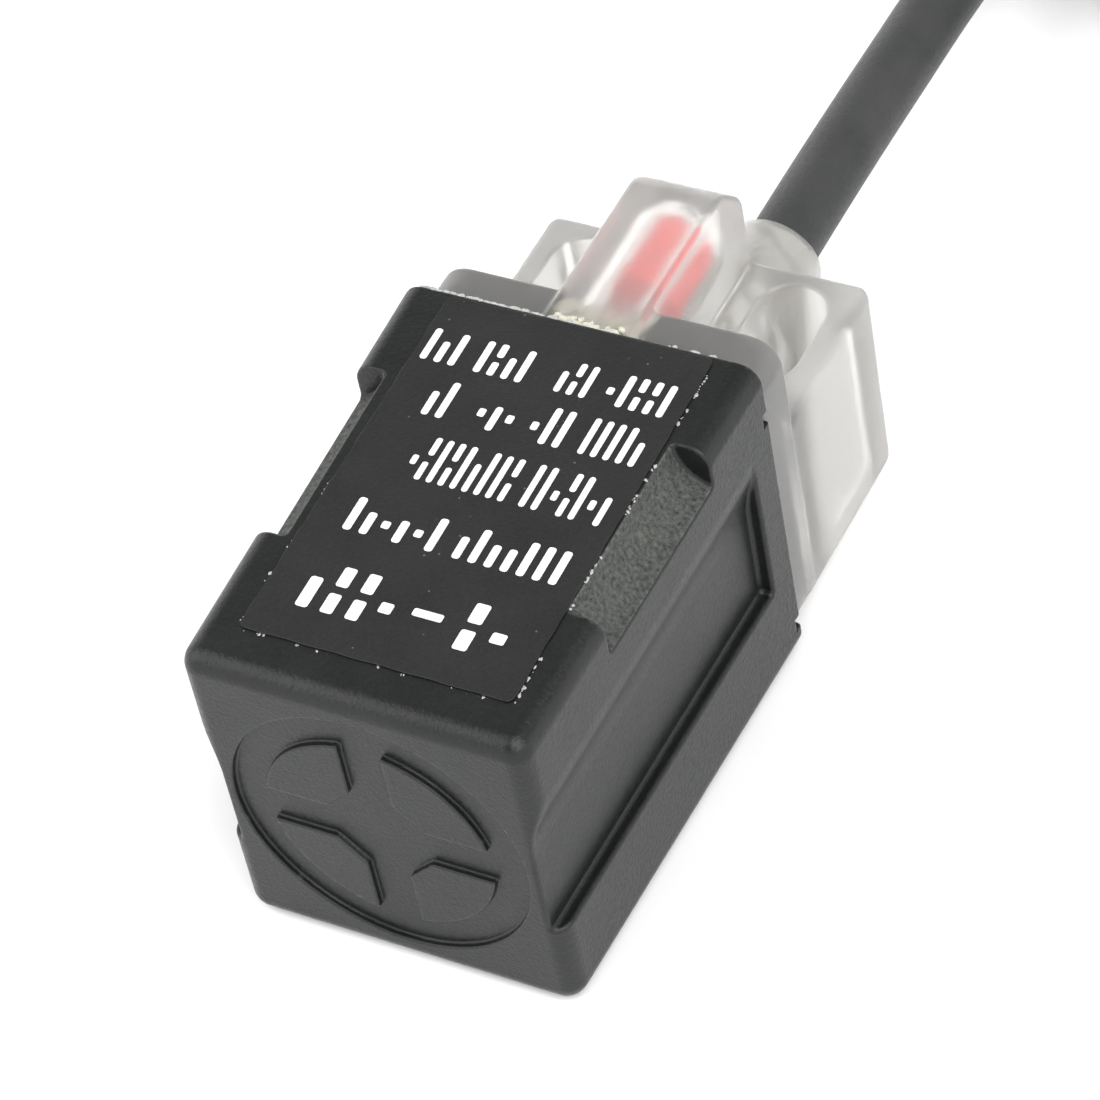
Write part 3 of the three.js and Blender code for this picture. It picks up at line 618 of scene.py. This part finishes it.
def gradient(field, p, h=0.004):
    parts = []
    for axis in range(3):
        step = np.zeros(3)
        step[axis] = h
        ahead, behind = (p + step).T, (p - step).T
        parts.append((field(*ahead) - field(*behind)) / (2 * h))
    return np.stack(parts, 1)


def surface(field, xs, ys, zs):
    """The zero surface of a distance field on a grid: (points, quads, gradient at the points)."""
    d = np.broadcast_to(
        field(xs[:, None, None], ys[None, :, None], zs[None, None, :]), (len(xs), len(ys), len(zs))
    ).astype(np.float32)
    # One point in each cell that the surface passes through, at the mean of where it crosses the cell's edges.
    inside = d < 0
    corners = [(a, b, c) for a in (0, 1) for b in (0, 1) for c in (0, 1)]
    sizes = [n - 1 for n in d.shape]
    total = np.zeros(sizes, np.int8)
    for a, b, c in corners:
        total += inside[a : a + sizes[0], b : b + sizes[1], c : c + sizes[2]]
    active = (total > 0) & (total < 8)
    at = np.argwhere(active)
    index = np.full(active.shape, -1)
    index[active] = np.arange(len(at))
    summed, hits = np.zeros((len(at), 3)), np.zeros(len(at))
    for a in corners:
        for axis in range(3):
            if a[axis]:
                continue
            b = tuple(1 if k == axis else a[k] for k in range(3))
            i, j = at + a, at + b
            da, db = d[tuple(i.T)], d[tuple(j.T)]
            crossed = (da < 0) != (db < 0)
            t = np.where(crossed, da / np.where(crossed, da - db, 1), 0)[:, None]
            pa = np.stack([xs[i[:, 0]], ys[i[:, 1]], zs[i[:, 2]]], 1)
            pb = np.stack([xs[j[:, 0]], ys[j[:, 1]], zs[j[:, 2]]], 1)
            summed += np.where(crossed[:, None], pa + t * (pb - pa), 0)
            hits += crossed
    points = summed / hits[:, None]
    # One quad round each grid edge that the surface crosses, joining the four cells beside that edge.
    quads = []
    for axis in range(3):
        u, v = [k for k in range(3) if k != axis]
        one = [slice(None)] * 3
        two = [slice(None)] * 3
        one[axis], two[axis] = slice(None, -1), slice(1, None)
        for k in (u, v):
            one[k] = two[k] = slice(1, -1)
        first, second = inside[tuple(one)], inside[tuple(two)]
        for flip, mask in ((False, first & ~second), (True, ~first & second)):
            where = np.argwhere(mask)
            where[:, u] += 1
            where[:, v] += 1
            ring = []
            for du, dv in ((-1, -1), (0, -1), (0, 0), (-1, 0)):
                cell = where.copy()
                cell[:, u] += du
                cell[:, v] += dv
                ring.append(index[tuple(cell.T)])
            ring = np.stack(ring, 1)
            quads.append(ring[:, ::-1] if flip != (axis == 1) else ring)
    # The points then slide down the slope of the field onto the surface itself.
    for _ in range(3):
        slope = gradient(field, points)
        length = np.maximum((slope**2).sum(1), 0.05)
        move = slope * (field(*points.T) / length)[:, None]
        points -= np.clip(move, -0.06, 0.06)
    return points, np.concatenate(quads), gradient(field, points)


def solid_piece(name, field, xs, ys, zs, finish, warp=None):
    points, quads, slope = surface(field, xs, ys, zs)
    if warp:
        points, slope = warp(points, slope)
    slope /= np.maximum(np.linalg.norm(slope, axis=1), 1e-9)[:, None]
    return mesh_piece(name, points, quads, finish, normals=slope)


# ------------------------------------------------------------------ housing
LENGTH, REAR_W, REAR_H, FRONT_W, FRONT_H = 22.9, 18.0, 18.35, 16.9, 17.35
PANEL_DEPTH, PANEL_LOW, PANEL_END = 0.7, 5.5, 21.0
SCOOP_X, SCOOP_Z, SCOOP_RADIUS, SCOOP_START, SCOOP_END = 9.462, 18.358, 2.233, 7.6, 17.6
MARK_Z, MARK_RADIUS, MARK_DEPTH, PAD_RADIUS, PAD_GAP, PAD_DIAMOND = 8.65, 7.25, 0.32, 5.6, 1.05, 3.45


def taper_at(y):
    """How much narrower and lower the housing is at y than at its rear, as two factors."""
    across = (FRONT_W + (REAR_W - FRONT_W) * y / LENGTH) / REAR_W
    up = (FRONT_H + (REAR_H - FRONT_H) * y / LENGTH) / REAR_H
    return across, up


def housing_field(x, y, z):
    across, up = taper_at(y)
    ax = np.abs(x)
    real_x, real_z = x * across, z * up
    side = REAR_W / 2
    body = rect(x, z, 0, REAR_H / 2, side, REAR_H / 2, 1.1)
    body = round_meet(body, -y, 1.0)
    body = round_meet(body, y - LENGTH, 0.16)

    ramp = (-2.1 * (ax - (side - PANEL_DEPTH)) + PANEL_DEPTH * (z - 11.6)) / math.hypot(2.1, PANEL_DEPTH)
    panel = round_meet(side - PANEL_DEPTH - ax, PANEL_LOW - z, 0.25)
    panel = round_meet(panel, ramp, 0.3)
    panel = round_meet(panel, y - PANEL_END, 0.25)
    body = round_cut(body, panel, 0.2)

    scoop = np.hypot(ax - SCOOP_X, z - SCOOP_Z) - SCOOP_RADIUS
    scoop = round_meet(scoop, SCOOP_START - y, 0.25)
    scoop = round_meet(scoop, y - SCOOP_END, 0.25)
    body = round_cut(body, scoop, 0.14)

    mz = real_z - MARK_Z
    reach = np.hypot(real_x, mz)
    pads = round_meet(reach - PAD_RADIUS, PAD_GAP - np.abs(real_x), 0.1)
    pads = round_meet(pads, PAD_GAP - np.abs(mz), 0.1)
    pads = round_meet(pads, (PAD_DIAMOND - np.abs(real_x) - np.abs(mz)) / math.sqrt(2), 0.1)
    mark = round_meet(reach - MARK_RADIUS, y - MARK_DEPTH, 0.1)
    mark = round_cut(mark, pads, 0.08)
    body = round_cut(body, mark, 0.09)

    cavity = round_meet(rect(real_x, real_z, 0, 8.6, 7.0, 7.1, 1.0), 1.6 - y, 0.2)
    notch = np.maximum(rect(real_x, real_z, 0, 15.7, 2.2, 1.0, 0.15), 19.6 - y)
    body = round_cut(body, np.minimum(cavity, notch), 0.08)
    for nick_z in (1.8, 15.3):
        nick = np.maximum(8.5 - np.abs(real_x), np.abs(real_z - nick_z) - 0.35)
        body = np.maximum(body, -np.maximum(nick, LENGTH - 0.5 - y))
    return body


def taper_mesh(points, slope):
    x, y, z = points.T
    across, up = taper_at(y)
    nx, nz = slope[:, 0] / across, slope[:, 2] / up
    sideways = x * (REAR_W - FRONT_W) / LENGTH / REAR_W * nx
    upward = z * (REAR_H - FRONT_H) / LENGTH / REAR_H * nz
    ny = slope[:, 1] - sideways - upward
    return np.stack([x * across, y, z * up], 1), np.stack([nx, ny, nz], 1)


housing = solid_piece(
    "housing_shell",
    housing_field,
    lines((-9.18, 9.18, 0.12)),
    lines((-0.14, 1.3, 0.09), (1.3, 7.1, 0.6), (7.1, 8.1, 0.09), (8.1, 17.1, 0.6), (17.1, 18.1, 0.09),
          (18.1, 20.5, 0.5), (20.5, 21.4, 0.09), (21.4, 22.2, 0.2), (22.2, 23.04, 0.07)),
    lines((-0.18, 18.54, 0.12)),
    FINISH["black_plastic"],
    warp=taper_mesh,
)
housing.data.materials.append(FINISH["sparked_plastic"])
for face in housing.data.polygons:
    where = (face.center - Vector((0, FACE_Y, 0))) / MM
    across, up = taper_at(where.y)
    reach = math.hypot(abs(where.x) / across - SCOOP_X, where.z / up - SCOOP_Z)
    if SCOOP_START + 0.15 < where.y < SCOOP_END - 0.15 and reach < SCOOP_RADIUS + 0.057:
        face.material_index = 1
settle(housing, "black_plastic", "housing")


# ------------------------------------------------------------------ clear rear base
LED_Z, LED_BASE_Y, LED_LENGTH, LED_R, LED_BORE = 14.6, 27.9, 5.2, 1.45, 1.8
DOME_Y = LED_BASE_Y + LED_LENGTH - LED_R
BLOCK_END, WINDOW_TOP, WINDOW_CHAMFER = 34.9, 17.7, 1.75
SLOT_X, SLOT_Y, SLOT_WIDTH = 5.4, 30.8, 3.4
CHAMBER_RADIUS, GLUE_RADIUS = 2.9, 2.2


def base_field(x, y, z):
    ax = np.abs(x)
    from_cable = np.hypot(x, z - CABLE_Z)
    flange = round_meet(rect(x, z, 0, 8.8, 8.6, 8.5, 1.6), np.abs(y - 24.3) - 1.3, 0.22)
    block = round_meet(rect(x, z, 0, 6.3, 8.5, 5.7, 0.7), rect(x, y, 0, 29.9, 8.5, 5.0, 0.7), 0.35)
    window = round_meet(z - WINDOW_TOP, y - BLOCK_END, 0.3)
    window = round_meet(window, (y + z - BLOCK_END - WINDOW_TOP + WINDOW_CHAMFER) / math.sqrt(2), 0.4)
    window = round_meet(window, np.maximum(23.0 - y, 11.4 - z), 0.2)
    window = round_meet(window, ax - 2.3, 0.28)
    cone = 3.3 - 0.85 * (y - 34.4) / 6.7
    boss = round_meet(from_cable - cone, np.abs(y - 37.75) - 3.35, 0.3)
    body = round_join(flange, block, 0.2)
    body = round_join(body, window, 0.3)
    body = round_join(body, boss, 0.6)

    # The flange is a tray for the resin, except under the window, where it stays clear all through.
    tray = round_meet(rect(x, z, -0.6, 8.8, 7.65, 8.2, 2.2), y - 25.38, 0.15)
    tray = np.maximum(tray, -rect(x, z, 0, 16.2, 2.7, 5.0, 0.3))
    slot = rect(ax, y, SLOT_X, SLOT_Y, SLOT_WIDTH / 2, 3.2, SLOT_WIDTH / 2)
    body = round_cut(body, tray, 0.1)
    body = round_cut(body, slot, 0.2)
    chamber = round_meet(from_cable - CHAMBER_RADIUS, y - 32.0, 0.2)
    bore = from_cable - GLUE_RADIUS
    body = round_cut(body, np.minimum(chamber, bore), 0.1)
    round_end = np.sqrt(x * x + (y - DOME_Y) ** 2 + (z - LED_Z) ** 2)
    led = np.where(y < DOME_Y, np.hypot(x, z - LED_Z), round_end) - LED_BORE
    return round_cut(body, led, 0.1)


base = solid_piece(
    "clear_base",
    base_field,
    lines((-8.78, 8.78, 0.14)),
    lines((22.86, 36.0, 0.14), (36.0, 40.7, 0.3), (40.7, 41.26, 0.08)),
    lines((0.12, 17.9, 0.14)),
    FINISH["clear_plastic"],
)
settle(base, "clear_plastic", "rear_base")


def potting_field(x, y, z):
    """The resin in the housing's mouth and in the flange's tray, open at the window and round the wires."""
    mouth = round_meet(rect(x, z, 0, 8.6, 6.9, 7.0, 1.0), np.abs(y - 22.4) - 1.2, 0.2)
    fill = np.maximum(rect(x, z, -0.6, 8.8, 7.71, 8.26, 2.2), np.abs(y - 24.21) - 1.2)
    body = np.minimum(mouth, fill)
    gate = rect(x, z, 0, 16.2, 2.66, 5.0, 0.3)
    wires = rect(x, z, 0, 6.4, 3.2, 2.2, 0.4)
    meniscus = 0.05 * np.sin(2.1 * x) * np.sin(1.7 * z)
    return np.maximum(round_meet(body + meniscus * (y < 22.5), -gate, 0.1), -wires)


potting = solid_piece(
    "potting_resin",
    potting_field,
    lines((-8.55, 8.3, 0.16)),
    lines((20.9, 25.7, 0.13)),
    lines((0.3, 17.3, 0.16)),
    FINISH["resin"],
)
settle(potting, "resin", "potting_plug")


def sleeve_field(x, y, z):
    """The glue that fills the boss round the cable and closes its inner end."""
    out = np.hypot(x, z - CABLE_Z)
    ring = round_meet(np.abs(out - 2.0) - 0.18 - 0.03 * np.sin(3 * y + 2 * x), np.abs(y - 36.35) - 4.5, 0.08)
    return np.minimum(ring, np.maximum(out - 2.15, np.abs(y - 31.9) - 0.25))


sleeve = solid_piece(
    "cable_glue",
    sleeve_field,
    lines((-2.3, 2.3, 0.09)),
    lines((31.5, 41.1, 0.16)),
    lines((3.7, 8.3, 0.09)),
    FINISH["glue"],
)
settle(sleeve, "resin")


# ------------------------------------------------------------------ status LED
def turned(profile, z, sides=48):
    """A piece turned about the axis along Y at height z, from (radius, y) points between two on the axis."""
    around = [2 * math.pi * k / sides for k in range(sides)]
    rings = [[(r * math.cos(a), y, z + r * math.sin(a)) for a in around] for r, y in profile[1:-1]]
    points = [(0, profile[0][1], z), *[p for ring in rings for p in ring], (0, profile[-1][1], z)]
    last = len(points) - 1
    faces = [(0, 1 + k, 1 + (k + 1) % sides) for k in range(sides)]
    for r in range(len(rings) - 1):
        a, b = 1 + r * sides, 1 + (r + 1) * sides
        faces.extend((a + (k + 1) % sides, a + k, b + k, b + (k + 1) % sides) for k in range(sides))
    top = 1 + (len(rings) - 1) * sides
    faces.extend((top + (k + 1) % sides, top + k, last) for k in range(sides))
    return np.array(points), faces


def led_profile():
    rim, base_y = 1.6, LED_BASE_Y
    found = [
        (0, base_y), (rim - 0.1, base_y), (rim, base_y + 0.1), (rim, base_y + 0.8),
        (rim - 0.08, base_y + 0.9), (LED_R + 0.04, base_y + 0.92), (LED_R, base_y + 1.0),
    ]
    for t in np.linspace(0, 1, 13):
        angle = t * math.pi / 2
        found.append((max(0.0, LED_R * math.cos(angle)) if t < 1 else 0, DOME_Y + LED_R * math.sin(angle)))
    return found


led = mesh_piece("led_lens", *turned(led_profile(), LED_Z), FINISH["red_lens"])
settle(led, "red_lens", "led_body")


# ------------------------------------------------------------------ hardened resin under the window
rng = random.Random(11)
lumps = [
    (rng.uniform(-1.9, 1.9), rng.uniform(23.1, 25.5), rng.uniform(12.4, 16.4), rng.uniform(0.35, 0.8))
    for _ in range(60)
]


def lumps_field(x, y, z):
    """All the lumps run together, with a crinkle over them."""
    d = np.full(np.broadcast(x, y, z).shape, 9.0)
    for cx, cy, cz, r in lumps:
        d = round_join(d, np.sqrt((x - cx) ** 2 + (y - cy) ** 2 + (z - cz) ** 2) - r, 0.12)
    return d + 0.06 * np.sin(7 * x + 3 * z) * np.sin(6 * y - 2 * x) * np.sin(8 * z)


resin = solid_piece(
    "window_resin",
    lumps_field,
    lines((-2.9, 2.9, 0.1)),
    lines((22.2, 26.5, 0.1)),
    lines((11.4, 17.5, 0.1)),
    FINISH["yellow_resin"],
)
settle(resin, "resin")


# ------------------------------------------------------------------ label
LABEL_LEFT, LABEL_RIGHT, LABEL_START, LABEL_END = -6.5, 6.9, 2.3, 22.7
FILM, INK = 0.08, 0.02


def label_base(y):
    return FRONT_H + (REAR_H - FRONT_H) * y / LENGTH + 0.005


def on_label(points, slope=None):
    x, y, z = points.T
    ripple = 0.012 * np.sin(0.9 * x + 0.4) * np.sin(0.7 * y + 1.0)
    moved = np.stack([x, y, label_base(y) + z + ripple], 1)
    if slope is None:
        return moved
    rise = (REAR_H - FRONT_H) / LENGTH
    return moved, np.stack([slope[:, 0], slope[:, 1] - rise * slope[:, 2], slope[:, 2]], 1)


def label_field(x, y, z):
    nibble = 0.03 * np.sin(3.1 * y + 0.5 * x) * np.sin(1.3 * y) + 0.02 * np.sin(2.7 * x)
    plan = rect(
        x, y, (LABEL_LEFT + LABEL_RIGHT) / 2, (LABEL_START + LABEL_END) / 2,
        (LABEL_RIGHT - LABEL_LEFT) / 2 - 0.03, (LABEL_END - LABEL_START) / 2 - 0.03, 0.35,
    )
    return round_meet(plan + nibble, np.abs(z - FILM / 2) - FILM / 2, 0.03)


label = solid_piece(
    "label_sheet",
    label_field,
    lines((-6.7, -5.9, 0.05), (-5.9, 6.3, 0.4), (6.3, 7.1, 0.05)),
    lines((2.1, 2.9, 0.05), (2.9, 22.1, 0.3), (22.1, 22.9, 0.05)),
    lines((-0.04, 0.12, 0.02)),
    FINISH["label_film"],
    warp=on_label,
)
settle(label, "label_film", "label")


def patch(left, right, low, high, corner):
    """A flat rounded patch of ink on the label."""
    corner = min(corner, (right - left) / 2 - 0.001, (high - low) / 2 - 0.001)
    arcs = rounded_corners(left, right, low, high, corner, 4)
    ring = [(cx + corner * out_x, cy + corner * out_y) for cx, cy, out_x, out_y in arcs]
    n = len(ring)
    mid_x, mid_y = (left + right) / 2, (low + high) / 2
    inner = [(mid_x + (x - mid_x) * 0.97, mid_y + (y - mid_y) * 0.97) for x, y in ring]
    points = [(x, y, FILM - 0.01) for x, y in ring]
    points += [(x, y, FILM + INK * 0.6) for x, y in ring]
    points += [(x, y, FILM + INK) for x, y in inner]
    faces = [tuple(reversed(range(n))), tuple(range(2 * n, 3 * n))]
    for r in range(2):
        here, there = r * n, (r + 1) * n
        faces.extend((here + k, here + (k + 1) % n, there + (k + 1) % n, there + k) for k in range(n))
    return on_label(np.array(points)), faces


# Rows of print: (low, high, widest block, [(left, right) of each group of blocks]).
PRINT_ROWS = [
    (4.15, 6.75, 1.25, [(-4.75, 0.15), (0.55, 2.0), (2.9, 5.7)]),
    (8.65, 10.55, 0.80, [(-4.75, 0.1), (0.65, 6.1)]),
    (12.2, 14.7, 0.62, [(-3.6, 1.7), (2.15, 6.35)]),
    (15.75, 17.9, 0.62, [(-4.5, -3.1), (-2.0, 0.1), (0.65, 2.7), (3.3, 6.35)]),
    (18.75, 20.65, 0.66, [(-6.1, -4.0), (-3.4, -0.65), (0.65, 2.5), (3.0, 6.35)]),
]


def print_blocks():
    """Rows of plain upright blocks and dashes, which stand for the print and say nothing."""
    chance = random.Random(5)
    parts = []
    for low, high, pitch, groups in PRINT_ROWS:
        tall = high - low
        for left, right in groups:
            if right - left < 1.6 and tall > 2.5:
                parts.append(patch(left, right, low + 0.42 * tall, low + 0.58 * tall, 0.1))
                continue
            count = max(2, round((right - left) / pitch))
            cell = (right - left) / count
            for k in range(count):
                start = left + k * cell + 0.1 * cell
                end = start + cell * 0.5
                kind = chance.random()
                if kind < 0.45:
                    parts.append(patch(start, end, low, high, 0.14))
                elif kind < 0.7:
                    parts.append(patch(start, end, low, low + 0.66 * tall, 0.14))
                elif kind < 0.88:
                    parts.append(patch(start, end, low, low + 0.42 * tall, 0.12))
                    parts.append(patch(start, end, low + 0.58 * tall, high, 0.12))
                else:
                    parts.append(patch(start, end, low + 0.3 * tall, low + 0.52 * tall, 0.1))
    return joined(parts)


ink = mesh_piece("label_print", *print_blocks(), FINISH["print_ink"], smooth=False)
settle(ink, "label_film")


# ------------------------------------------------------------------ glue beads
def bead(centre, size, chance):
    """An uneven blob, size its half-width along each axis."""
    shape = bmesh.new()
    bmesh.ops.create_icosphere(shape, subdivisions=2, radius=1)
    phase = [chance.uniform(0, 6) for _ in range(3)]
    points = []
    for v in shape.verts:
        swell = 1 + 0.22 * math.sin(3 * v.co.x + phase[0]) * math.sin(2.5 * v.co.y + phase[1])
        swell += 0.12 * math.sin(4 * v.co.z + phase[2])
        points.append([centre[k] + size[k] * swell * v.co[k] for k in range(3)])
    faces = [tuple(v.index for v in f.verts) for f in shape.faces]
    shape.free()
    return np.array(points), faces


def glue_line(chance, start, end, count, spread, size, gaps):
    """Specks of glue along an edge of the label, in runs with bare stretches between them."""
    found = []
    for _ in range(count):
        t = chance.random()
        if math.sin(t * 23 + gaps) < -0.25:
            continue
        x = start[0] + (end[0] - start[0]) * t + chance.uniform(-spread, spread)
        y = start[1] + (end[1] - start[1]) * t + chance.uniform(-spread, spread)
        z = label_base(y) - 0.04
        scale = chance.uniform(0.5, 1.0)
        grown = size * scale
        spans = (grown * chance.uniform(0.7, 1.6), grown * chance.uniform(0.7, 2.2), grown * 0.7)
        found.append(bead((x, y, z), spans, chance))
    return found


chance = random.Random(3)
beads = []
beads += glue_line(chance, (6.93, 2.4), (6.93, 22.4), 95, 0.05, 0.085, 0.0)
beads += glue_line(chance, (-6.4, 2.25), (6.8, 2.25), 60, 0.05, 0.075, 1.0)
beads += glue_line(chance, (-6.52, 2.4), (-6.52, 12.0), 22, 0.05, 0.07, 2.0)
glue = mesh_piece("label_glue", *joined(beads), FINISH["glue"])
settle(glue, "resin")

# Hardened resin at the notch between the housing and the window, and glue along the housing's rear edge.
rim = []
for _ in range(34):
    size = chance.uniform(0.1, 0.24)
    where = (chance.uniform(-1.5, 1.9), chance.uniform(22.95, 23.5), chance.uniform(17.68, 18.05))
    rim.append(bead(where, (size * chance.uniform(0.8, 1.8), size, size * 0.9), chance))
rim_resin = mesh_piece("rim_resin", *joined(rim), FINISH["yellow_resin"])
settle(rim_resin, "resin")

seam = []
for _ in range(70):
    x = chance.uniform(-8.0, -1.6) if chance.random() < 0.8 else chance.uniform(-1.6, 7.5)
    size = chance.uniform(0.06, 0.13)
    where = (x, 22.9 + chance.uniform(-0.03, 0.04), 18.2 + 0.06 * chance.random())
    seam.append(bead(where, (size * chance.uniform(1, 2.6), size, size), chance))
seam_glue = mesh_piece("seam_glue", *joined(seam), FINISH["glue"])
settle(seam_glue, "resin")


# ------------------------------------------------------------------ floor and light
def make_stage():
    bpy.ops.mesh.primitive_plane_add(size=3, location=(0, 0, cad_low.z))
    floor = bpy.context.object
    floor.name = "floor"
    n = Nodes("floor_paper")
    fibre = n.noise(350, detail=4)
    n.base(Base_Color=n.ramp(fibre, [(0.3, (0.95, 0.95, 0.95)), (0.7, (0.97, 0.97, 0.97))]), Roughness=0.9)
    n.base(Specular_IOR_Level=0.2)
    floor.data.materials.append(n.material)


def area_light(name, where, size, power):
    """A square light in metres and watts, aimed at the middle of the sensor."""
    data = bpy.data.lights.new(name, "AREA")
    data.shape = "SQUARE"
    data.size = size
    data.energy = power
    light = bpy.data.objects.new(name, data)
    light.location = where
    light.rotation_euler = (Vector((0, 0, 0.008)) - Vector(where)).to_track_quat("-Z", "Y").to_euler()
    bpy.context.scene.collection.objects.link(light)


def make_world():
    """Bright all round and dimmer overhead."""
    world = bpy.data.worlds.new("studio")
    world.use_nodes = True
    tree = world.node_tree
    where = tree.nodes.new("ShaderNodeTexCoord")
    split = tree.nodes.new("ShaderNodeSeparateXYZ")
    ramp = tree.nodes.new("ShaderNodeValToRGB")
    ramp.color_ramp.elements[0].position, ramp.color_ramp.elements[0].color = 0.24, (1, 1, 1, 1)
    ramp.color_ramp.elements[1].position, ramp.color_ramp.elements[1].color = 0.56, (0.30, 0.30, 0.30, 1)
    tree.links.new(where.outputs["Generated"], split.inputs["Vector"])
    tree.links.new(split.outputs["Z"], ramp.inputs["Fac"])
    tree.links.new(ramp.outputs["Color"], tree.nodes["Background"].inputs["Color"])
    tree.nodes["Background"].inputs["Strength"].default_value = 1.75
    bpy.context.scene.world = world


make_stage()
area_light("key", (0.45, -0.2, 0.7), 0.8, 6.8)
area_light("fill", (-0.5, -0.35, 0.6), 0.7, 3.6)
make_world()
bpy.context.scene.view_settings.view_transform = "Standard"
